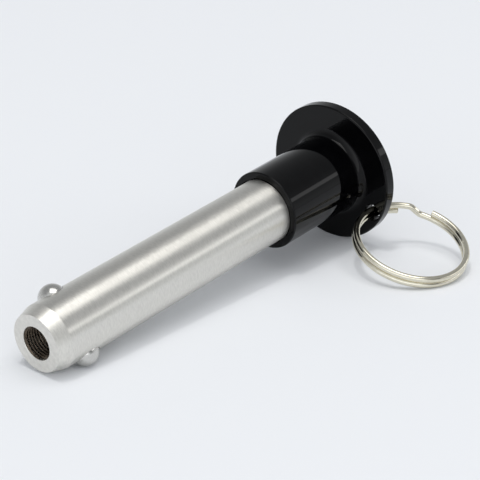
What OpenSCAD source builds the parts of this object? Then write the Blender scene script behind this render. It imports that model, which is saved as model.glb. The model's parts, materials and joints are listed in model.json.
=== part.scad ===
// Hitch pin lock: a push-button ball-lock pin with a flanged grip and a split ring.
// It lies on the ground at z = 0, on the edge of its tip, its lower ball and the rim
// of its flange. Pressing the button slides the spindle towards the tip, and both
// balls drop into the spindle's neck, so the pin can be pulled out.
//
// Every piece is drawn about the pin's own axis: z = 0 is the tip's face, +z runs to
// the button, and +x is the side that faces the ground. lying() then lays it down.

/* [Shank] */
// Diameter of the shank, the part that fills the hole
shank_d = 16; // [15:0.5:20]
// Length from the tip's face to the face of the grip
shank_len = 75.5; // [60:0.5:120]
// Length of the tapered tip along the axis
tip_len = 3.4; // [1.5:0.1:4]
// Diameter of the flat face of the tip
tip_face_d = 13.6; // [11:0.1:14]
// Major diameter of the thread in the tip
tip_thread_d = 8; // [7.5:0.5:10]
// Depth of the threaded hole in the tip
tip_thread_depth = 5.9; // [4:0.1:6]

/* [Locking balls] */
// Diameter of each locking ball
ball_d = 6.5; // [6:0.1:6.8]
// How far a locked ball stands out of the shank
ball_out = 2; // [1.6:0.1:2.4]
// Distance from the tip's face to the centres of the balls
ball_from_tip = 9.7; // [9.6:0.1:14]

/* [Grip] */
// Wall of the grip's sleeve outside the shank
sleeve_wall = 1.85; // [1.2:0.05:3]
// Length of the sleeve, from its face to the flange
sleeve_len = 25.7; // [24:0.1:36]
// Diameter of the flange
flange_d = 35.4; // [34:0.2:44]
// Thickness of the flange
flange_t = 3; // [2.4:0.1:5]
// Radius of the fillet between sleeve and flange
fillet_r = 1.9; // [0.5:0.1:2]

/* [Push button] */
// How far the button is pressed to free the balls
button_travel = 5; // [4.5:0.1:6]
// Diameter of the button's crown
button_d = 9.2; // [8:0.1:9.4]
// How far the crown still stands out behind the flange when it is fully pressed
button_proud = 0.5; // [0.1:0.1:4]
// Wire diameter of the return spring
spring_wire = 0.7; // [0.5:0.05:0.8]
// Number of turns in the return spring
spring_turns = 5; // [4:1:6]

/* [Split ring] */
// Mean diameter of the split ring
ring_d = 27.5; // [24:0.5:40]
// Wire diameter of the split ring
ring_wire = 1.6; // [1.2:0.1:1.8]
// How much wider the ring's hole in the flange is than its two coils
ring_hole_play = 0.8; // [0.8:0.1:1.4]
// Wall left between that hole and the rim of the flange
ring_hole_wall = 0.6; // [0.6:0.1:1.3]
// Side of the flange that the hole is on, as an angle from the ground side
ring_hole_side = -60.5; // [-75:0.5:-45]
// How far the ring has slid forward through its hole, as an angle
ring_lean = 12.5; // [0:0.5:20]

/* [Hidden] */
$fn = 96;

// clearances
slide_gap = 0.05;      // radial gap of a sliding fit
ball_gap = 0.1;        // gap between a ball and its pocket
eps = 0.01;            // how far a cutter runs past a face

// shank
shank_r = shank_d / 2;
nose_r = shank_r - 0.17;               // the nose grows from this to the full shank
tail_r = shank_r - 1;                  // the part held in the grip
tail_len = 12;
tail_end = shank_len + tail_len;
shoulder_z = shank_len + 0.1;
thread_r = tip_thread_d / 2;
mouth_bevel = 0.1;

// balls and the spindle that drives them
ball_r = ball_d / 2;
ball_at = shank_r + ball_out - ball_r;     // ball centre from the axis, locked
ball_drop = ball_out + 0.1;                // how far each ball moves in
ball_ratio = ball_drop / button_travel;    // slope of the spindle's ramp
land_r = ball_at - ball_r - slide_gap;
bore_r = land_r + slide_gap;
neck_r = ball_at - ball_drop - ball_r - 0.1;
ramp_angle = atan(ball_ratio);
// the ramp starts where it is just clear of a locked ball, and stays so as the ball drops
ramp_z = ball_from_tip - (ball_r + slide_gap) * (1 / cos(ramp_angle) - 1) / ball_ratio;
neck_z = ramp_z + (land_r - neck_r) / ball_ratio;
neck_end = ball_from_tip + button_travel + 2;
rod_r = 2.5;
spindle_nose = button_travel + 1.6;
nose_bevel = 0.5;
guide_z = neck_end + (land_r - neck_r);
guide_len = 10;
pocket_r = ball_r + ball_gap;
nose_end = ball_from_tip + pocket_r + 1.6;

// grip
sleeve_r = shank_r + sleeve_wall;
flange_r = flange_d / 2;
flange_z = shank_len + sleeve_len;
flange_mid = flange_z + flange_t / 2;
grip_end = flange_z + flange_t;
mouth_r = shank_r + 0.35;              // a shadow gap runs round the shank
mouth_depth = 0.7;
edge = 0.4;                            // radius of the grip's rounded edges
cavity_r = button_d / 2 + 1.4;          // leaves a ledge for the retaining ring
clip_t = 1;
clip_z = grip_end - 3.45;
clip_groove_r = cavity_r + 0.5;
clip_r = clip_groove_r - 0.05;
clip_hole_r = button_d / 2 + 0.35;

// button
collar_r = cavity_r - slide_gap;
collar_top = clip_z - slide_gap;
collar_t = 2.3;
collar_z = collar_top - collar_t;
crown_r = button_d / 2;
crown_top = grip_end + button_travel + button_proud;
crown_round = 0.9;
boss_len = 3;
spindle_end = collar_top - 0.3;
button_pin_r = 0.8;
button_pin_z = collar_z + collar_t / 2;
button_pin_len = 2 * collar_r - 0.6;

// return spring, between the shank's end and the button's collar
spring_r = cavity_r - 0.3 - spring_wire / 2;
boss_r = spring_r - spring_wire / 2 - 0.3;
spring_z0 = tail_end + 0.05;
spring_z1 = collar_z - 0.05;
end_rise = (spring_wire + 0.15) / 2;     // of each half turn in the closed ends
halves = 2 * spring_turns;
spring_span = spring_z1 - spring_z0 - spring_wire;
free_rise = (spring_span - 4 * end_rise) / (halves - 4);

// split ring
ring_r = ring_d / 2;
wire_r = ring_wire / 2;
strand_off = wire_r + 0.02;            // each coil from the ring's middle plane
ring_hole_r = ring_wire + ring_hole_play / 2;
ring_hole_at = flange_r - ring_hole_wall - ring_hole_r;
cross_at = 135;                        // where the wire crosses from coil to coil
cross_half = 5.5;
end_gap = 12;                          // from a cut end to the crossing

// how the pin lies: on the edge of its nose and the edge of its flange
lie_angle = atan((flange_r - nose_r) / (flange_z + edge - tip_len));
axis_height = nose_r * cos(lie_angle) - tip_len * sin(lie_angle);
// the lower ball is turned until it just meets the ground
ball_side = -acos((axis_height + ball_from_tip * sin(lie_angle) - ball_r)
                  / (ball_at * cos(lie_angle)));

// directions of the ground frame, in the pin's own frame
function ground_x() = [sin(lie_angle), 0, cos(lie_angle)];
function ground_y() = [0, 1, 0];
function ground_z() = [-cos(lie_angle), 0, sin(lie_angle)];

// the split ring's centre and axis when it has swung to the angle s
function hole_centre() = [ring_hole_at * cos(ring_hole_side),
                          ring_hole_at * sin(ring_hole_side), flange_mid];
function ring_dir(s) = [cos(ring_lean) * cos(s), cos(ring_lean) * sin(s), -sin(ring_lean)];
function ring_centre(s) = hole_centre() + ring_r * ring_dir(s);
function ring_axis(s) = [-sin(s), cos(s), 0];
// how far the ring reaches along the direction d
function ring_reach(s, d) = ring_centre(s) * d
    + ring_r * sqrt(1 - pow(ring_axis(s) * d, 2))
    + strand_off * abs(ring_axis(s) * d) + wire_r;
function ring_low(s) = axis_height - ring_reach(s, -ground_z());
// the swing at which the ring comes to rest on the ground, found by halving the range
function rest_swing(a, b, n) = n == 0 ? b
    : ring_low((a + b) / 2) > 0 ? rest_swing(a, (a + b) / 2, n - 1)
    : rest_swing((a + b) / 2, b, n - 1);
ring_swing = rest_swing(-30, -120, 24);

// the middle of everything seen from above, so the origin is under it
low_x = -tip_face_d / 2 * sin(lie_angle);
high_x = max(ring_reach(ring_swing, ground_x()), crown_top * cos(lie_angle));
low_y = -ring_reach(ring_swing, -ground_y());
mid_x = (low_x + high_x) / 2;
mid_y = (low_y + flange_r) / 2;

// lays a piece drawn about the pin's axis on the ground
module lying() {
    translate([-mid_x, -mid_y, axis_height])
        rotate([0, 90 - lie_angle, 0])
            children();
}

// a straight round bar between two points
module bar(p, q, r) {
    d = q - p;
    translate(p)
        rotate([0, acos(d.z / norm(d)), atan2(d.y, d.x)])
            cylinder(h = norm(d), r = r);
}

// turns a piece to the given side of the pin, with +x pointing outwards
module on_side(angle, z) {
    translate([0, 0, z])
        rotate([0, 0, angle])
            children();
}

module ball_pocket() {
    rotate([0, 90, 0])
        cylinder(h = ball_at, r = pocket_r);
    translate([ball_at, 0, 0])
        sphere(r = pocket_r);
}

// hollow shank with a tapered tip, two ball pockets and a threaded mouth
module shank() {
    color("silver")
    lying()
    difference() {
        rotate_extrude()
            polygon([
                [0, 0],
                [tip_face_d / 2, 0],
                [nose_r, tip_len],
                [shank_r, nose_end],
                [shank_r, shoulder_z],
                [tail_r, shoulder_z],
                [tail_r, tail_end],
                [0, tail_end]
            ]);
        translate([0, 0, -eps])
            cylinder(h = tip_thread_depth + eps, r = thread_r);
        translate([0, 0, tip_thread_depth - eps])
            cylinder(h = tail_end - tip_thread_depth + 2 * eps, r = bore_r);
        translate([0, 0, -eps])
            cylinder(h = mouth_bevel + eps, r1 = thread_r + mouth_bevel + eps, r2 = thread_r);
        for (side = [ball_side, ball_side + 180])
            on_side(side, ball_from_tip)
                ball_pocket();
    }
}

// a quarter of a disc about (x, z), on the outside and above (1) or below (-1) it
module quarter_round(x, z, r, side) {
    intersection() {
        translate([x, z])
            circle(r = r, $fn = 48);
        translate([x, side > 0 ? z : z - r])
            square(r);
    }
}

module ring_hole() {
    sink = 0.3;
    translate([0, 0, flange_z - eps])
        cylinder(h = flange_t + 2 * eps, r = ring_hole_r);
    translate([0, 0, flange_z - eps])
        cylinder(h = sink + eps, r1 = ring_hole_r + sink + eps, r2 = ring_hole_r);
    translate([0, 0, grip_end - sink])
        cylinder(h = sink + eps, r1 = ring_hole_r, r2 = ring_hole_r + sink + eps);
}

// one turned piece: sleeve, fillet and flange, bored for the shank and the button
module grip() {
    color("#15171b")
    lying()
    difference() {
        rotate_extrude() {
            difference() {
                polygon([
                    [0, shank_len],
                    [sleeve_r - edge, shank_len],
                    [sleeve_r, shank_len + edge],
                    [sleeve_r, flange_z - fillet_r],
                    [sleeve_r + fillet_r, flange_z],
                    [flange_r - edge, flange_z],
                    [flange_r, flange_z + edge],
                    [flange_r, grip_end - edge],
                    [flange_r - edge, grip_end],
                    [0, grip_end]
                ]);
                translate([sleeve_r + fillet_r, flange_z - fillet_r])
                    circle(r = fillet_r);
            }
            quarter_round(sleeve_r - edge, shank_len + edge, edge, -1);
            quarter_round(flange_r - edge, flange_z + edge, edge, -1);
            quarter_round(flange_r - edge, grip_end - edge, edge, 1);
        }
        translate([0, 0, shank_len - eps])
            cylinder(h = mouth_depth + eps, r = mouth_r);
        translate([0, 0, shank_len])
            cylinder(h = tail_len, r = tail_r);
        translate([0, 0, shank_len])
            cylinder(h = grip_end - shank_len + eps, r = cavity_r);
        translate([0, 0, clip_z - slide_gap])
            cylinder(h = clip_t + 2 * slide_gap, r = clip_groove_r);
        on_side(ring_hole_side, 0)
            translate([ring_hole_at, 0, 0])
                ring_hole();
    }
}

// release rod: a land that holds the balls out, a ramp and a neck that lets them in
module spindle() {
    rear_guide = tail_end - 2;
    color("#c9c9c4")
    lying()
    difference() {
        rotate_extrude()
            polygon([
                [0, spindle_nose],
                [land_r - nose_bevel, spindle_nose],
                [land_r, spindle_nose + nose_bevel],
                [land_r, ramp_z],
                [neck_r, neck_z],
                [neck_r, neck_end],
                [land_r, guide_z],
                [land_r, guide_z + guide_len],
                [rod_r, guide_z + guide_len + 1],
                [rod_r, rear_guide - guide_len - 1],
                [land_r, rear_guide - guide_len],
                [land_r, rear_guide],
                [rod_r, rear_guide + 1],
                [rod_r, spindle_end],
                [0, spindle_end]
            ]);
        button_pin_hole();
    }
}

module button_pin_hole() {
    translate([0, cavity_r, button_pin_z])
        rotate([90, 0, 0])
            cylinder(h = 2 * cavity_r, r = button_pin_r);
}

// push button: a crown, a collar that stops on the retaining ring, and a spring boss
module push_button() {
    color("#b9bcc0")
    lying()
    difference() {
        rotate_extrude()
            union() {
                polygon([
                    [0, collar_z - boss_len],
                    [boss_r, collar_z - boss_len],
                    [boss_r, collar_z],
                    [collar_r, collar_z],
                    [collar_r, collar_top],
                    [crown_r, collar_top],
                    [crown_r, crown_top - crown_round],
                    [crown_r - crown_round, crown_top],
                    [0, crown_top]
                ]);
                quarter_round(crown_r - crown_round, crown_top - crown_round, crown_round, 1);
            }
        translate([0, 0, collar_z - boss_len - eps])
            cylinder(h = spindle_end - collar_z + boss_len + eps, r = rod_r);
        button_pin_hole();
    }
}

// cross pin that locks the spindle into the button
module button_pin() {
    color("#8d8f91")
    lying()
    translate([0, button_pin_len / 2, button_pin_z])
        rotate([90, 0, 0])
            cylinder(h = button_pin_len, r = button_pin_r);
}

// snap ring in the grip's groove that keeps the button in, with its two lugs
module retaining_ring() {
    lug_r = 1.05;
    lug_at = clip_hole_r + 0.75;
    lug_angle = 16;
    color("#55565a")
    lying()
    translate([0, 0, clip_z])
    difference() {
        cylinder(h = clip_t, r = clip_r);
        translate([0, 0, -eps])
            cylinder(h = clip_t + 2 * eps, r = clip_hole_r);
        rotate([0, 0, 180])
            translate([0, -0.8, -eps])
                cube([clip_r + 1, 1.6, clip_t + 2 * eps]);
        for (s = [-1, 1])
            rotate([0, 0, 180 + s * lug_angle])
                translate([lug_at, 0, -eps])
                    cylinder(h = clip_t + 2 * eps, r = lug_r / 3);
    }
}

// half a turn of round wire that climbs by rise, from +x round to -x, cut a little
// short at both ends
module half_turn(r, wire, rise) {
    tilt = atan(rise / (2 * r));
    short = 1;
    translate([0, 0, rise / 2])
        rotate([0, tilt, 0])
            rotate([0, 0, short])
                rotate_extrude(angle = 180 - 2 * short)
                    translate([r / cos(tilt), 0])
                        circle(d = wire);
}

// height at which half turn i of the spring starts, with a closed turn at each end
function half_z(i) = i < 2 ? i * end_rise
    : i <= halves - 2 ? 2 * end_rise + (i - 2) * free_rise
    : spring_span - (halves - i) * end_rise;

// coil spring of half turns, with a small round joint between each and the next
module return_spring() {
    color("#9a9c9e")
    lying()
    translate([0, 0, spring_z0 + spring_wire / 2])
        for (i = [0 : halves - 1]) {
            translate([0, 0, half_z(i)])
                rotate([0, 0, 180 * i])
                    half_turn(spring_r, spring_wire, half_z(i + 1) - half_z(i));
            if (i > 0)
                translate([spring_r * cos(180 * i), 0, half_z(i)])
                    sphere(d = spring_wire + 0.06);
        }
}

module ball() {
    translate([ball_at, 0, 0])
        sphere(r = ball_r);
}

module ball_lower() {
    color("#dcdcd8")
    lying()
        on_side(ball_side, ball_from_tip)
            ball();
}

module ball_upper() {
    color("#dcdcd8")
    lying()
        on_side(ball_side + 180, ball_from_tip)
            ball();
}

// one coil of the split ring, from angle a through the angle sweep
module coil(a, sweep, off) {
    translate([0, 0, off])
        rotate([0, 0, a])
            rotate_extrude(angle = sweep)
                translate([ring_r, 0])
                    circle(r = wire_r);
}

// a point on a coil's centre line
function on_coil(a, off) = [ring_r * cos(a), ring_r * sin(a), off];

// two coils of one wire that cross over once, with a cut end on each side of the crossing
module split_ring() {
    sweep = 360 - 2 * cross_half - end_gap;
    cross = [on_coil(cross_at - cross_half, -strand_off),
             on_coil(cross_at + cross_half, strand_off)];
    color("#d3cfbd")
    lying()
    translate(hole_centre())
        rotate([0, 0, ring_swing])
            rotate([0, ring_lean, 0])
                translate([ring_r, 0, 0])
                    rotate([90, 0, 0]) {
                        coil(cross_at + cross_half, sweep, strand_off);
                        coil(cross_at + cross_half + end_gap, sweep, -strand_off);
                        bar(cross[0], cross[1], wire_r - 0.03);
                        for (p = cross)
                            translate(p)
                                sphere(r = wire_r + 0.03);
                    }
}

shank();
grip();
spindle();
push_button();
button_pin();
retaining_ring();
return_spring();
ball_lower();
ball_upper();
split_ring();
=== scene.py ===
"""Ball-lock hitch pin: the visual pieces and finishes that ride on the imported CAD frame."""

import json
import math

import bmesh
import bpy
from bpy.props import FloatProperty, FloatVectorProperty, IntProperty, PointerProperty
from mathutils import Matrix, Vector


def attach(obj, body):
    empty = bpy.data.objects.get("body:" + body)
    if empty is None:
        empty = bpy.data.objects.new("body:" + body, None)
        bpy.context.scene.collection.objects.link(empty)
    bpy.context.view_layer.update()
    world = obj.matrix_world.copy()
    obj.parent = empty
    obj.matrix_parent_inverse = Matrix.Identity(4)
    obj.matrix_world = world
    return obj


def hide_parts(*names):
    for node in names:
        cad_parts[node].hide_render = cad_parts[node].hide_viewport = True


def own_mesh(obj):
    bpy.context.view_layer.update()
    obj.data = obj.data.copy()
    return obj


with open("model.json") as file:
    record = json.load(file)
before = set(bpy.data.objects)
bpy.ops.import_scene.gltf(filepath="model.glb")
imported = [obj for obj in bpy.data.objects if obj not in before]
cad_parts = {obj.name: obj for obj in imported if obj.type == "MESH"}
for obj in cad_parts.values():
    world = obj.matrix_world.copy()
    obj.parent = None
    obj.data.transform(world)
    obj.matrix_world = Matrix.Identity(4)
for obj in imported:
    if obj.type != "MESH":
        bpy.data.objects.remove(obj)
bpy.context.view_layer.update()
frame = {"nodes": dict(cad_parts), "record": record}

bl_info = {
    "name": "Hitch pin lock",
    "version": (1, 0, 0),
    "blender": (4, 5, 0),
    "location": "3D View > Sidebar > Hitch Pin",
    "description": "Builds the visual model of a push-button ball-lock pin on its CAD frame",
    "category": "Add Mesh",
}

MM = 0.001


# ---------------------------------------------------------------- the pin's own frame

def record_entry(entries, name):
    """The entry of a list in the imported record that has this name."""
    for entry in entries:
        if entry["name"] == name:
            return entry
    raise RuntimeError(f"the packed record has no {name!r}")


def pin_frame():
    """Matrix from millimetres about the pin's axis to metres in the scene.

    Local z = 0 is the tip's face, +z runs to the button and +x is the ground side.
    """
    tip = record_entry(frame["record"]["mounts"], "tip_thread")
    axis = -Vector(tip["axis"]).normalized()
    across = Vector((0, 1, 0))
    down = across.cross(axis)
    origin = Vector(tip["pos_m"]) - axis * TIP_THREAD_DEPTH / 2 * MM
    turn = Matrix((down, across, axis)).transposed().to_4x4()
    return Matrix.Translation(origin) @ turn @ Matrix.Scale(MM, 4)


# sizes of the CAD model that the new pieces fit to, in millimetres and radians
TIP_LEN = 3.4
TIP_THREAD_DEPTH = 5.9
TAIL_END = 87.5
COLLAR_Z = 98.4
FLANGE_MID = 102.7
SPRING_R = 5.35
SPRING_GAP = 0.05
RING_HOLE_AT = 15.1
RING_HOLE_SIDE = math.radians(-60.5)
RING_LEAN = math.radians(12.5)
RING_SWING = math.radians(-72.2855)

PIN = pin_frame()
PIN_AXIS = (PIN.to_3x3() @ Vector((0, 0, 1))).normalized()
TO_PIN = PIN.inverted()


# ---------------------------------------------------------------- colours and nodes

def colour(code):
    """An sRGB hex value such as "C8C6C0" as linear red, green, blue and alpha."""
    channels = [int(code[i:i + 2], 16) / 255 for i in (0, 2, 4)]
    linear = [c / 12.92 if c <= 0.04045 else ((c + 0.055) / 1.055) ** 2.4 for c in channels]
    return (*linear, 1.0)


def add_node(tree, kind, inputs=None, **settings):
    """Adds a node, gives it its settings, and sets or links its inputs."""
    node = tree.nodes.new(kind)
    for name, value in settings.items():
        setattr(node, name, value)
    for socket, value in (inputs or {}).items():
        if isinstance(value, bpy.types.NodeSocket):
            tree.links.new(value, node.inputs[socket])
        else:
            node.inputs[socket].default_value = value
    return node


def start_finish(name, **constants):
    """A new material with a Principled shader, and a point in the pin's frame in mm."""
    material = bpy.data.materials.new(name)
    material.use_nodes = True
    tree = material.node_tree
    tree.nodes.clear()
    shader = add_node(tree, "ShaderNodeBsdfPrincipled", constants)
    add_node(tree, "ShaderNodeOutputMaterial", {"Surface": shader.outputs["BSDF"]})
    place = add_node(tree, "ShaderNodeTexCoord")
    point = add_node(
        tree,
        "ShaderNodeMapping",
        {
            "Vector": place.outputs["Object"],
            "Location": TO_PIN.to_translation(),
            "Rotation": TO_PIN.to_euler(),
            "Scale": (1 / MM, 1 / MM, 1 / MM),
        },
    )
    return material, tree, shader, point.outputs["Vector"]


def stretched_noise(tree, point, size, detail=2.0):
    """Noise whose features have this size in mm along x, y and z of the pin."""
    scaled = add_node(
        tree,
        "ShaderNodeVectorMath",
        {0: point, 1: [1 / s for s in size]},
        operation="MULTIPLY",
    )
    noise = add_node(
        tree,
        "ShaderNodeTexNoise",
        {"Vector": scaled.outputs["Vector"], "Scale": 1.0, "Detail": detail},
    )
    return noise.outputs["Fac"]


def spread(tree, value, low, high):
    """A 0 to 1 pattern as a number from low to high."""
    ranged = add_node(
        tree,
        "ShaderNodeMapRange",
        {"Value": value, "From Min": 0.25, "From Max": 0.75, "To Min": low, "To Max": high},
    )
    return ranged.outputs["Result"]


def blend_colours(tree, amount, dark, light):
    """A colour from dark to light by a 0 to 1 pattern."""
    ramp = add_node(tree, "ShaderNodeValToRGB", {"Fac": amount})
    ramp.color_ramp.elements[0].position = 0.3
    ramp.color_ramp.elements[0].color = colour(dark)
    ramp.color_ramp.elements[1].position = 0.7
    ramp.color_ramp.elements[1].color = colour(light)
    return ramp.outputs["Color"]


def add_bump(tree, shader, height, strength, depth):
    """Bumps on a finish from a 0 to 1 pattern, up to this depth in mm."""
    bump = add_node(
        tree,
        "ShaderNodeBump",
        {"Height": height, "Strength": strength, "Distance": depth * MM},
    )
    tree.links.new(bump.outputs["Normal"], shader.inputs["Normal"])


def groove_direction(tree, point):
    """The way that turning marks run round the pin's axis at each point."""
    local = add_node(tree, "ShaderNodeSeparateXYZ", {"Vector": point})
    flat = add_node(
        tree,
        "ShaderNodeCombineXYZ",
        {"X": local.outputs["X"], "Y": local.outputs["Y"], "Z": 0.0},
    )
    back = add_node(
        tree,
        "ShaderNodeMapping",
        {"Vector": flat.outputs["Vector"], "Rotation": PIN.to_euler()},
        vector_type="VECTOR",
    )
    across = add_node(
        tree,
        "ShaderNodeVectorMath",
        {0: PIN_AXIS, 1: back.outputs["Vector"]},
        operation="CROSS_PRODUCT",
    )
    return across.outputs["Vector"]


# ---------------------------------------------------------------- finishes

GROUND_DRAW = 0.85       # how strongly the grinding marks draw a light out
NOSE_DRAW = 0.3          # the same on the turned nose
NOSE_ROUGHNESS = 0.4
WAVE_REPEAT = 0.314      # distance between a wave texture's rings at a scale of 1


def ground_stainless_steel(finish):
    """Stainless bar, centreless ground to size.

    The grinding leaves short fine marks round the bar, so a light draws out along the
    axis into a broad band with a fine sparkle in it. The nose is turned and has no such
    marks, so it is evenly matt and draws a light out much less.
    """
    material, tree, shader, point = start_finish("ground_stainless_steel", Metallic=1.0)
    shader.inputs["Anisotropic Rotation"].default_value = 0.25
    # real marks are about 0.05 mm wide; they are drawn at 0.25 mm so that they show
    marks = stretched_noise(tree, point, (1.1, 1.1, 0.25), 3.0)
    clouds = stretched_noise(tree, point, (6.0, 6.0, 9.0))
    tree.links.new(blend_colours(tree, marks, "D6D4CE", "E4E2DC"), shader.inputs["Base Color"])
    depth = add_node(tree, "ShaderNodeSeparateXYZ", {"Vector": point})
    turned = add_node(
        tree,
        "ShaderNodeMath",
        {0: depth.outputs["Z"], 1: TIP_LEN},
        operation="LESS_THAN",
    )
    mean = finish.shank_roughness
    ground_rough = add_node(
        tree,
        "ShaderNodeMath",
        {0: spread(tree, marks, mean - 0.03, mean + 0.05), 1: spread(tree, clouds, -0.015, 0.015)},
        operation="ADD",
    )
    rough = add_node(
        tree,
        "ShaderNodeMix",
        {
            "Factor": turned.outputs["Value"],
            "A": ground_rough.outputs["Value"],
            "B": NOSE_ROUGHNESS,
        },
    )
    tree.links.new(rough.outputs["Result"], shader.inputs["Roughness"])
    drawn_out = add_node(
        tree,
        "ShaderNodeMix",
        {"Factor": turned.outputs["Value"], "A": GROUND_DRAW, "B": NOSE_DRAW},
    )
    tree.links.new(drawn_out.outputs["Result"], shader.inputs["Anisotropic"])
    add_bump(tree, shader, marks, 0.1, 0.004)
    tree.links.new(groove_direction(tree, point), shader.inputs["Tangent"])
    return material


def cut_thread_painted_shade():
    """Tapped stainless thread, coloured a dim dark brown as painted shade of the inside of the
    deep hole.
    """
    material, tree, shader, point = start_finish("cut_thread_painted_shade", Metallic=1.0)
    thread_streaks = stretched_noise(tree, point, (0.5, 0.5, 0.12), 3.0)
    # painted shade: the dark brown range stands for the shade deep in the hole, varied by random
    # streaks of tone
    tree.links.new(blend_colours(tree, thread_streaks, "352E27", "6C6155"), shader.inputs["Base Color"])
    tree.links.new(spread(tree, thread_streaks, 0.2, 0.36), shader.inputs["Roughness"])
    add_bump(tree, shader, thread_streaks, 0.4, 0.01)
    return material


def gloss_black_anodised_aluminium(finish):
    """Turned aluminium, sealed black anodised: nearly black with a clear, sharp gloss.

    Very fine turning marks still show under the film as a faint haze.
    """
    material, tree, shader, point = start_finish("gloss_black_anodised_aluminium")
    shader.inputs["Specular IOR Level"].default_value = 0.2
    turning = stretched_noise(tree, point, (4.0, 4.0, 0.3), 2.0)
    haze = stretched_noise(tree, point, (3.0, 3.0, 3.0), 3.0)
    tree.links.new(blend_colours(tree, haze, "010102", "040405"), shader.inputs["Base Color"])
    tree.links.new(
        spread(tree, turning, finish.grip_roughness - 0.02, finish.grip_roughness + 0.02),
        shader.inputs["Roughness"],
    )
    add_bump(tree, shader, turning, 0.1, 0.002)
    return material


def polished_ball_steel():
    """Hardened stainless bearing ball: bright, a little softened by very fine lapping marks."""
    material, tree, shader, point = start_finish("polished_ball_steel", Metallic=1.0)
    lapping = stretched_noise(tree, point, (0.4, 0.4, 0.4), 4.0)
    tree.links.new(blend_colours(tree, lapping, "C3C2BE", "CFCECB"), shader.inputs["Base Color"])
    tree.links.new(spread(tree, lapping, 0.17, 0.24), shader.inputs["Roughness"])
    return material


def nickel_plated_wire():
    """Drawn spring wire, bright nickel plated: warm white metal with a clear shine."""
    material, tree, shader, point = start_finish("nickel_plated_wire", Metallic=1.0)
    plating = stretched_noise(tree, point, (0.7, 0.7, 0.7), 3.0)
    tree.links.new(blend_colours(tree, plating, "D8D2C0", "E4E0D0"), shader.inputs["Base Color"])
    tree.links.new(spread(tree, plating, 0.05, 0.09), shader.inputs["Roughness"])
    add_bump(tree, shader, plating, 0.1, 0.004)
    return material


def turned_finish(name, dark, light, low, high, pitch, **constants):
    """A turned part, with rings of this pitch in mm round the pin's axis.

    Its colour goes from dark to light and its roughness from low to high.
    """
    material, tree, shader, point = start_finish(name, **constants)
    rings = add_node(
        tree,
        "ShaderNodeTexWave",
        {"Vector": point, "Scale": WAVE_REPEAT / pitch, "Distortion": 0.3, "Detail": 1.0},
        wave_type="RINGS",
        rings_direction="Z",
    )
    streaks = stretched_noise(tree, point, (2.0, 2.0, 0.3), 2.0)
    tree.links.new(blend_colours(tree, streaks, dark, light), shader.inputs["Base Color"])
    tree.links.new(spread(tree, streaks, low, high), shader.inputs["Roughness"])
    add_bump(tree, shader, rings.outputs["Fac"], 0.3, 0.006)
    return material


def satin_anodised_aluminium():
    """Turned aluminium button, clear anodised: pale grey with a satin sheen."""
    return turned_finish(
        "satin_anodised_aluminium", "BDC0C4", "CCCFD2", 0.24, 0.34, 0.3, Metallic=1.0
    )


def turned_stainless_steel():
    """Turned stainless rod, a little duller than the ground shank."""
    return turned_finish(
        "turned_stainless_steel", "B4B3AE", "C4C3BE", 0.25, 0.36, 0.25, Metallic=1.0
    )


def ground_dowel_steel():
    """Hardened dowel, ground and lightly oiled: mid grey."""
    return turned_finish("ground_dowel_steel", "96989A", "A6A8AA", 0.2, 0.3, 0.4, Metallic=1.0)


def spring_music_wire():
    """Drawn music wire: dark grey with a soft shine from the drawing soap."""
    material, tree, shader, point = start_finish("spring_music_wire", Metallic=1.0)
    drawing = stretched_noise(tree, point, (0.6, 0.6, 0.25), 3.0)
    tree.links.new(blend_colours(tree, drawing, "75777A", "8B8D90"), shader.inputs["Base Color"])
    tree.links.new(spread(tree, drawing, 0.28, 0.4), shader.inputs["Roughness"])
    return material


def phosphated_spring_steel():
    """Stamped snap ring, phosphated and oiled: near black with a dull crystal grain."""
    material, tree, shader, point = start_finish("phosphated_spring_steel", Metallic=0.7)
    grain = stretched_noise(tree, point, (0.2, 0.2, 0.2), 3.0)
    tree.links.new(blend_colours(tree, grain, "2A2B2D", "3C3D40"), shader.inputs["Base Color"])
    tree.links.new(spread(tree, grain, 0.38, 0.55), shader.inputs["Roughness"])
    add_bump(tree, shader, grain, 0.3, 0.01)
    return material


def paper_sweep():
    """Matt paper backdrop that the pin lies on, very pale and a little blue."""
    material, tree, shader, point = start_finish("paper_sweep", Roughness=0.9)
    shader.inputs["Specular IOR Level"].default_value = 0.1
    shader.inputs["Base Color"].default_value = colour("F0F2F6")
    return material


# ---------------------------------------------------------------- mesh helpers

def finish_node(node, material):
    """Gives a CAD node its finish."""
    mesh = frame["nodes"][node].data
    mesh.materials.clear()
    mesh.materials.append(material)


def new_piece(name, bm, material, body):
    """Makes an object of a bmesh built in the pin's frame, and puts it on its body."""
    bmesh.ops.recalc_face_normals(bm, faces=bm.faces)
    bmesh.ops.transform(bm, matrix=PIN, verts=bm.verts)
    mesh = bpy.data.meshes.new(name)
    bm.to_mesh(mesh)
    bm.free()
    mesh.shade_smooth()
    mesh.set_sharp_from_angle(angle=math.radians(35))
    mesh.materials.append(material)
    piece = bpy.data.objects.new(name, mesh)
    bpy.context.scene.collection.objects.link(piece)
    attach(piece, body)
    return piece


def across_path(point, radial, tangent):
    """The place of a wire's section: its middle, with z along the wire."""
    side = tangent.cross(radial).normalized()
    outward = side.cross(tangent).normalized()
    turn = Matrix((outward, side, tangent.normalized())).transposed().to_4x4()
    return Matrix.Translation(point) @ turn


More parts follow.
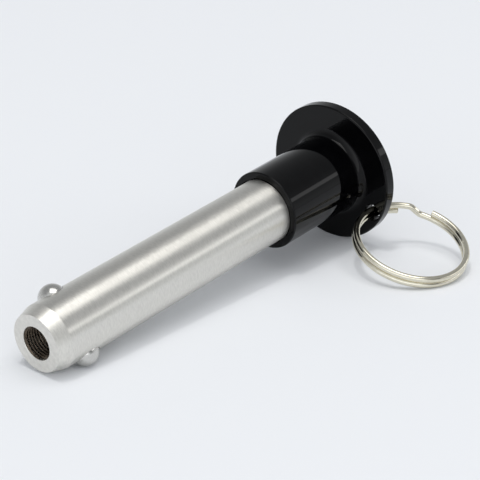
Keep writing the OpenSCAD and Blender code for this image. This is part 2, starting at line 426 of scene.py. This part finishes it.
def wire_along(path, radius, sides):
    """Draws round wire through the places in path, with a rounded edge at its cut ends."""
    bm = bmesh.new()
    bmesh.ops.create_circle(bm, cap_ends=False, segments=sides, radius=radius, matrix=path[0])
    edges = list(bm.edges)
    for here, there in zip(path, path[1:]):
        grown = bmesh.ops.extrude_edge_only(bm, edges=edges)["geom"]
        edges = [item for item in grown if isinstance(item, bmesh.types.BMEdge)]
        verts = [item for item in grown if isinstance(item, bmesh.types.BMVert)]
        bmesh.ops.transform(bm, matrix=there @ here.inverted(), verts=verts)
    rims = [edge for edge in bm.edges if edge.is_boundary]
    caps = bmesh.ops.holes_fill(bm, edges=rims, sides=sides)["faces"]
    bmesh.ops.recalc_face_normals(bm, faces=bm.faces)
    rims = [edge for face in caps for edge in face.edges]
    bmesh.ops.bevel(
        bm,
        geom=rims,
        offset=0.15 * radius,
        affect="EDGES",
        segments=3,
        profile=0.5,
        material=-1,
    )
    return bm


# ---------------------------------------------------------------- settings

class HitchPinSizes(bpy.types.PropertyGroup):
    """Sizes of the pieces that are added to the CAD frame."""

    thread_pitch: FloatProperty(
        name="Thread pitch",
        description="Distance from crest to crest of the thread in the tip",
        default=0.75 * MM,
        unit="LENGTH",
    )
    thread_root: FloatProperty(
        name="Thread root",
        description="Diameter at the bottom of the thread's grooves",
        default=8.0 * MM,
        unit="LENGTH",
    )
    thread_crest: FloatProperty(
        name="Thread crest",
        description="Diameter over the crests of the thread in the tip",
        default=7.2 * MM,
        unit="LENGTH",
    )
    ring_mean: FloatProperty(
        name="Ring diameter",
        description="Mean diameter of the split ring",
        default=27.5 * MM,
        unit="LENGTH",
    )
    ring_wire: FloatProperty(
        name="Ring wire",
        description="Diameter of the split ring's wire",
        default=1.6 * MM,
        unit="LENGTH",
    )
    spring_wire: FloatProperty(
        name="Spring wire",
        description="Diameter of the return spring's wire",
        default=0.7 * MM,
        unit="LENGTH",
    )
    spring_turns: IntProperty(
        name="Spring turns",
        description="Number of turns in the return spring, with its closed ends",
        default=5,
        min=4,
        max=8,
    )


class HitchPinFinish(bpy.types.PropertyGroup):
    """Finish of the main pieces, and the light on them."""

    shank_roughness: FloatProperty(
        name="Shank roughness",
        description="How far the ground shank spreads a reflection",
        default=0.33,
        min=0.1,
        max=0.6,
        subtype="FACTOR",
    )
    grip_roughness: FloatProperty(
        name="Grip roughness",
        description="How far the black grip spreads a reflection",
        default=0.05,
        min=0.03,
        max=0.5,
        subtype="FACTOR",
    )
    key_strength: FloatProperty(
        name="Key light",
        description="Strength of the overhead light on the floor",
        default=1.53,
        min=0.0,
        max=6.0,
    )
    key_colour: FloatVectorProperty(
        name="Key colour",
        description="Colour of the overhead light",
        default=(1.0, 0.99, 0.97),
        size=3,
        subtype="COLOR",
    )


# ---------------------------------------------------------------- pieces

# the thread's ridge, in millimetres
THREAD_START = 0.45          # from the tip's face to the middle of the first turn
THREAD_SINK = 0.02           # how far the ridge goes into the wall of the hole
THREAD_ROOT_HALF = 0.32      # half the width of the ridge at the wall
THREAD_CREST_HALF = 0.04     # half the width of its flat crest

# the return spring, in millimetres
END_TURN_GAP = 0.15          # gap between the turns at its closed ends

# the split ring's winding: degrees round the ring, with the flange's hole at 180
CROSS_AT = 135               # middle of the crossing between the coils
CROSS_HALF = 5.5             # half the length of the crossing
END_GAP = 12                 # from each cut end to the crossing
COIL_GAP = 0.02              # half the gap between the coils, in millimetres


class HITCHPIN_OT_shank(bpy.types.Operator):
    """Finish the shank and cut the thread in its tip"""

    bl_idname = "hitchpin.shank"
    bl_label = "Shank"

    def execute(self, context):
        sizes = context.scene.hitchpin_sizes
        finish = context.scene.hitchpin_finish
        finish_node("shank", ground_stainless_steel(finish))
        pitch = sizes.thread_pitch / MM
        root = sizes.thread_root / 2 / MM + THREAD_SINK
        crest = sizes.thread_crest / 2 / MM
        turns = (TIP_THREAD_DEPTH - 2 * THREAD_START) / pitch
        per_turn = 48
        bm = bmesh.new()
        profile = (
            (root, -THREAD_ROOT_HALF),
            (crest, -THREAD_CREST_HALF),
            (crest, THREAD_CREST_HALF),
            (root, THREAD_ROOT_HALF),
        )
        corners = [bm.verts.new((r, 0, THREAD_START + z)) for r, z in profile]
        edges = [bm.edges.new((corners[i], corners[i - 3])) for i in range(4)]
        bmesh.ops.spin(
            bm,
            geom=corners + edges,
            cent=(0, 0, 0),
            axis=(0, 0, 1),
            dvec=(0, 0, pitch / per_turn),
            angle=2 * math.pi * turns,
            steps=round(per_turn * turns),
            use_merge=False,
            use_duplicate=False,
        )
        rims = [edge for edge in bm.edges if edge.is_boundary]
        bmesh.ops.holes_fill(bm, edges=rims, sides=4)
        new_piece("tip_thread", bm, cut_thread_painted_shade(), "pin")
        return {"FINISHED"}


class HITCHPIN_OT_grip(bpy.types.Operator):
    """Finish the black grip"""

    bl_idname = "hitchpin.grip"
    bl_label = "Grip"

    def execute(self, context):
        finish = context.scene.hitchpin_finish
        finish_node("grip", gloss_black_anodised_aluminium(finish))
        return {"FINISHED"}


class HITCHPIN_OT_balls(bpy.types.Operator):
    """Finish the two locking balls"""

    bl_idname = "hitchpin.balls"
    bl_label = "Locking balls"

    def execute(self, context):
        material = polished_ball_steel()
        for node in ("ball_lower", "ball_upper"):
            finish_node(node, material)
        return {"FINISHED"}


class HITCHPIN_OT_button(bpy.types.Operator):
    """Finish the push button, its spindle and the cross pin that joins them"""

    bl_idname = "hitchpin.button"
    bl_label = "Push button"

    def execute(self, context):
        finish_node("push_button", satin_anodised_aluminium())
        finish_node("spindle", turned_stainless_steel())
        finish_node("button_pin", ground_dowel_steel())
        return {"FINISHED"}


class HITCHPIN_OT_retaining_ring(bpy.types.Operator):
    """Finish the snap ring that keeps the button in"""

    bl_idname = "hitchpin.retaining_ring"
    bl_label = "Retaining ring"

    def execute(self, context):
        finish_node("retaining_ring", phosphated_spring_steel())
        return {"FINISHED"}


class HITCHPIN_OT_return_spring(bpy.types.Operator):
    """Coil the return spring between the shank and the button"""

    bl_idname = "hitchpin.return_spring"
    bl_label = "Return spring"

    def execute(self, context):
        sizes = context.scene.hitchpin_sizes
        wire = sizes.spring_wire / MM
        low = TAIL_END + SPRING_GAP + wire / 2
        high = COLLAR_Z - SPRING_GAP - wire / 2
        closed = wire + END_TURN_GAP
        per_turn = 32
        open_rise = (high - low - 2 * closed) / (sizes.spring_turns - 2)

        def height(turn):
            """Height of the wire's middle after this many turns."""
            from_end = min(turn, sizes.spring_turns - turn)
            rise = closed * min(from_end, 1) + open_rise * max(from_end - 1, 0)
            return low + rise if turn * 2 < sizes.spring_turns else high - rise

        def middle(turn):
            """Height averaged over an eighth of a turn each way, so the pitch eases."""
            spots = [min(max(turn + k / per_turn, 0), sizes.spring_turns) for k in range(-4, 5)]
            return sum(height(spot) for spot in spots) / len(spots)

        path = []
        for i in range(per_turn * sizes.spring_turns + 1):
            turn = i / per_turn
            angle = 2 * math.pi * turn
            radial = Vector((math.cos(angle), math.sin(angle), 0))
            slope = (middle(turn + 0.01) - middle(turn - 0.01)) / (0.04 * math.pi * SPRING_R)
            tangent = Vector((-math.sin(angle), math.cos(angle), slope))
            point = radial * SPRING_R + Vector((0, 0, middle(turn)))
            path.append(across_path(point, radial, tangent))
        bm = wire_along(path, wire / 2, 14)
        spring = new_piece("return_spring_coil", bm, spring_music_wire(), "pin")
        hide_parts("return_spring")
        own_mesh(spring)
        return {"FINISHED"}


class HITCHPIN_OT_split_ring(bpy.types.Operator):
    """Wind the split ring: two coils of one wire that cross over once"""

    bl_idname = "hitchpin.split_ring"
    bl_label = "Split ring"

    def execute(self, context):
        sizes = context.scene.hitchpin_sizes
        mean = sizes.ring_mean / 2 / MM
        wire = sizes.ring_wire / 2 / MM
        strand = wire + COIL_GAP
        first = CROSS_AT - CROSS_HALF + 360 - END_GAP
        last = CROSS_AT + CROSS_HALF + END_GAP - 360

        def straight(angle):
            """Middle of the wire, with a straight crossing between the two coils."""
            off = min(max((angle - CROSS_AT) / CROSS_HALF, -1), 1)
            radius = mean
            if abs(angle - CROSS_AT) < CROSS_HALF:
                chord = mean * math.cos(math.radians(CROSS_HALF))
                radius = chord / math.cos(math.radians(angle - CROSS_AT))
            turn = math.radians(angle)
            return Vector((radius * math.cos(turn), radius * math.sin(turn), off * strand))

        def middle(angle):
            """The same, averaged over two degrees each way to ease the two kinks."""
            spots = [straight(angle + k * 0.5) for k in range(-4, 5)]
            return sum(spots, Vector()) / len(spots)

        step = 2
        count = round((first - last) / step)
        path = []
        for i in range(count + 1):
            angle = first - i * step
            turn = math.radians(angle)
            radial = Vector((math.cos(turn), math.sin(turn), 0))
            tangent = middle(angle - 0.5) - middle(angle + 0.5)
            path.append(across_path(middle(angle), radial, tangent))
        bm = wire_along(path, wire, 20)
        hole = Vector((
            RING_HOLE_AT * math.cos(RING_HOLE_SIDE),
            RING_HOLE_AT * math.sin(RING_HOLE_SIDE),
            FLANGE_MID,
        ))
        place = (
            Matrix.Translation(hole)
            @ Matrix.Rotation(RING_SWING, 4, "Z")
            @ Matrix.Rotation(RING_LEAN, 4, "Y")
            @ Matrix.Translation((mean, 0, 0))
            @ Matrix.Rotation(math.pi / 2, 4, "X")
        )
        bmesh.ops.transform(bm, matrix=place, verts=bm.verts)
        ring = new_piece("split_ring_wire", bm, nickel_plated_wire(), "ring")
        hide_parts("split_ring")
        return {"FINISHED"}


# ---------------------------------------------------------------- stage

def aim(obj, place, target):
    """Puts a camera or lamp at a place, looking at the target."""
    obj.location = place
    obj.rotation_euler = (Vector(target) - Vector(place)).to_track_quat("-Z", "Y").to_euler()
    bpy.context.scene.collection.objects.link(obj)


# the camera, and the point that it looks at: from the tip's face, and above the floor
CAMERA_LENS = 136.44
CAMERA_AZIMUTH = math.radians(40.182)
CAMERA_ELEVATION = math.radians(24.006)
CAMERA_ROLL = math.radians(1.286)
CAMERA_DISTANCE = 0.43318
TARGET_FROM_TIP = 66.563 * MM
TARGET_HEIGHT = 10.074 * MM

# colour of the room by the sine of the angle above the floor
ROOM_HEIGHTS = ((0.1, "EFF2F4"), (0.35, "D2D4D6"), (0.6, "B2B4B6"), (1.0, "B2B4B6"))
# strength of a patch beyond its edge; the two patches' strengths are multiplied
ROOM_LIGHT = 0.93
# each patch: its direction, the cosine where it begins, and its strength in the middle
BRIGHT_PATCH = ((-0.72, -0.62, 0.3), 0.3, 2.1)
DIM_PATCH = ((0.1, -0.94, 0.32), 0.88, 0.25)

# the floor, the overhead lamps and the side panel, in metres
FLOOR_SIZE = 6
KEY_HEIGHT = 1.8
KEY_TURN = math.radians(-49)
PANEL_LENGTH = 1.3
PANEL_WIDTH = 0.15
PANEL_RADIANCE = 1.4
PANEL_AZIMUTH = math.radians(-46)
PANEL_DISTANCE = 1.1
PANEL_HEIGHT = 0.44
# name, x and y of its place, length and width, and share of the overhead light
KEY_LAMPS = (
    ("soft_key", 0.02, -0.25, 1.4, 1.2, 0.7),
    ("small_key", -0.34, -0.03, 0.2, 0.2, 0.3),
)


class HITCHPIN_OT_stage(bpy.types.Operator):
    """Set up the floor, the studio light and the camera"""

    bl_idname = "hitchpin.stage"
    bl_label = "Stage"

    def execute(self, context):
        finish = context.scene.hitchpin_finish
        self.floor()
        self.room(context)
        self.lamps(finish)
        self.camera(context)
        context.scene.view_settings.view_transform = "Standard"
        return {"FINISHED"}

    def floor(self):
        """A wide sheet of paper just under the pin."""
        bm = bmesh.new()
        bmesh.ops.create_grid(bm, x_segments=1, y_segments=1, size=FLOOR_SIZE)
        bmesh.ops.translate(bm, vec=(0, 0, -0.02 * MM), verts=bm.verts)
        mesh = bpy.data.meshes.new("floor")
        bm.to_mesh(mesh)
        bm.free()
        mesh.materials.append(paper_sweep())
        floor = bpy.data.objects.new("floor", mesh)
        bpy.context.scene.collection.objects.link(floor)

    def room(self, context):
        """A pale wall that fades to a dim ceiling, with a bright patch and a dim one."""
        world = bpy.data.worlds.new("room")
        world.use_nodes = True
        tree = world.node_tree
        tree.nodes.clear()
        place = add_node(tree, "ShaderNodeTexCoord")
        split = add_node(tree, "ShaderNodeSeparateXYZ", {"Vector": place.outputs["Generated"]})
        ramp = add_node(tree, "ShaderNodeValToRGB", {"Fac": split.outputs["Z"]})
        stops = ramp.color_ramp.elements
        for stop, (position, code) in zip(stops, (ROOM_HEIGHTS[0], ROOM_HEIGHTS[-1])):
            stop.position = position
            stop.color = colour(code)
        for position, code in ROOM_HEIGHTS[1:-1]:
            stops.new(position).color = colour(code)
        fill = self.patch(tree, place, *BRIGHT_PATCH)
        gap = self.patch(tree, place, *DIM_PATCH)
        both = add_node(tree, "ShaderNodeMath", {0: fill, 1: gap}, operation="MULTIPLY")
        light = add_node(
            tree,
            "ShaderNodeBackground",
            {"Color": ramp.outputs["Color"], "Strength": both.outputs["Value"]},
        )
        add_node(tree, "ShaderNodeOutputWorld", {"Surface": light.outputs["Background"]})
        context.scene.world = world

    def patch(self, tree, place, way, edge, strength):
        """A soft patch of the room round a direction, brighter or dimmer than the rest."""
        facing = add_node(
            tree,
            "ShaderNodeVectorMath",
            {0: place.outputs["Generated"], 1: way},
            operation="DOT_PRODUCT",
        )
        blend = add_node(
            tree,
            "ShaderNodeMapRange",
            {
                "Value": facing.outputs["Value"],
                "From Min": edge,
                "To Min": ROOM_LIGHT,
                "To Max": strength,
            },
            interpolation_type="SMOOTHSTEP",
        )
        return blend.outputs["Result"]

    def lamps(self, finish):
        """A soft key and a small bright one overhead, and a long low panel at one side."""
        for name, x, y, length, width, share in KEY_LAMPS:
            key = bpy.data.lights.new(name, "AREA")
            key.shape = "RECTANGLE"
            key.size = length
            key.size_y = width
            key.energy = share * finish.key_strength * math.pi * KEY_HEIGHT ** 2
            key.color = finish.key_colour
            lamp = bpy.data.objects.new(name, key)
            lamp.location = (x, y, KEY_HEIGHT)
            lamp.rotation_euler = (0, 0, KEY_TURN)
            bpy.context.scene.collection.objects.link(lamp)
        panel = bpy.data.lights.new("side_panel", "AREA")
        panel.shape = "RECTANGLE"
        panel.size = PANEL_LENGTH
        panel.size_y = PANEL_WIDTH
        panel.energy = PANEL_RADIANCE * math.pi * PANEL_LENGTH * PANEL_WIDTH
        way = Vector((math.cos(PANEL_AZIMUTH), math.sin(PANEL_AZIMUTH), 0))
        place = way * PANEL_DISTANCE + Vector((0, 0, PANEL_HEIGHT))
        aim(bpy.data.objects.new("side_panel", panel), place, (0, 0, 0.01))

    def camera(self, context):
        """The camera stands ahead of the tip and on its -y side, a little above."""
        data = bpy.data.cameras.new("camera")
        data.sensor_width = 36
        data.lens = CAMERA_LENS
        data.clip_start = 0.01
        look = Vector((
            math.cos(CAMERA_AZIMUTH) * math.cos(CAMERA_ELEVATION),
            math.sin(CAMERA_AZIMUTH) * math.cos(CAMERA_ELEVATION),
            -math.sin(CAMERA_ELEVATION),
        ))
        tip = PIN.to_translation()
        target = Vector((tip.x + TARGET_FROM_TIP, tip.y, TARGET_HEIGHT))
        camera = bpy.data.objects.new("camera", data)
        aim(camera, target - look * CAMERA_DISTANCE, target)
        camera.rotation_euler.rotate_axis("Z", CAMERA_ROLL)
        context.scene.camera = camera


# ---------------------------------------------------------------- panel and registration

PIECES = (
    HITCHPIN_OT_shank,
    HITCHPIN_OT_grip,
    HITCHPIN_OT_balls,
    HITCHPIN_OT_button,
    HITCHPIN_OT_retaining_ring,
    HITCHPIN_OT_return_spring,
    HITCHPIN_OT_split_ring,
    HITCHPIN_OT_stage,
)


class HITCHPIN_PT_panel(bpy.types.Panel):
    """Lists the sizes, the finish and the pieces"""

    bl_label = "Hitch Pin"
    bl_idname = "HITCHPIN_PT_panel"
    bl_space_type = "VIEW_3D"
    bl_region_type = "UI"
    bl_category = "Hitch Pin"

    def draw(self, context):
        layout = self.layout
        for group in (context.scene.hitchpin_sizes, context.scene.hitchpin_finish):
            box = layout.box()
            for name in group.__annotations__:
                box.prop(group, name)
        for piece in PIECES:
            layout.operator(piece.bl_idname)


CLASSES = (HitchPinSizes, HitchPinFinish, *PIECES, HITCHPIN_PT_panel)


def register():
    for item in CLASSES:
        bpy.utils.register_class(item)
    bpy.types.Scene.hitchpin_sizes = PointerProperty(type=HitchPinSizes)
    bpy.types.Scene.hitchpin_finish = PointerProperty(type=HitchPinFinish)


def unregister():
    del bpy.types.Scene.hitchpin_finish
    del bpy.types.Scene.hitchpin_sizes
    for item in reversed(CLASSES):
        bpy.utils.unregister_class(item)


def main():
    """Builds every piece in order."""
    register()
    bpy.ops.hitchpin.shank()
    bpy.ops.hitchpin.grip()
    bpy.ops.hitchpin.balls()
    bpy.ops.hitchpin.button()
    bpy.ops.hitchpin.retaining_ring()
    bpy.ops.hitchpin.return_spring()
    bpy.ops.hitchpin.split_ring()
    bpy.ops.hitchpin.stage()


if __name__ == "__main__":
    main()
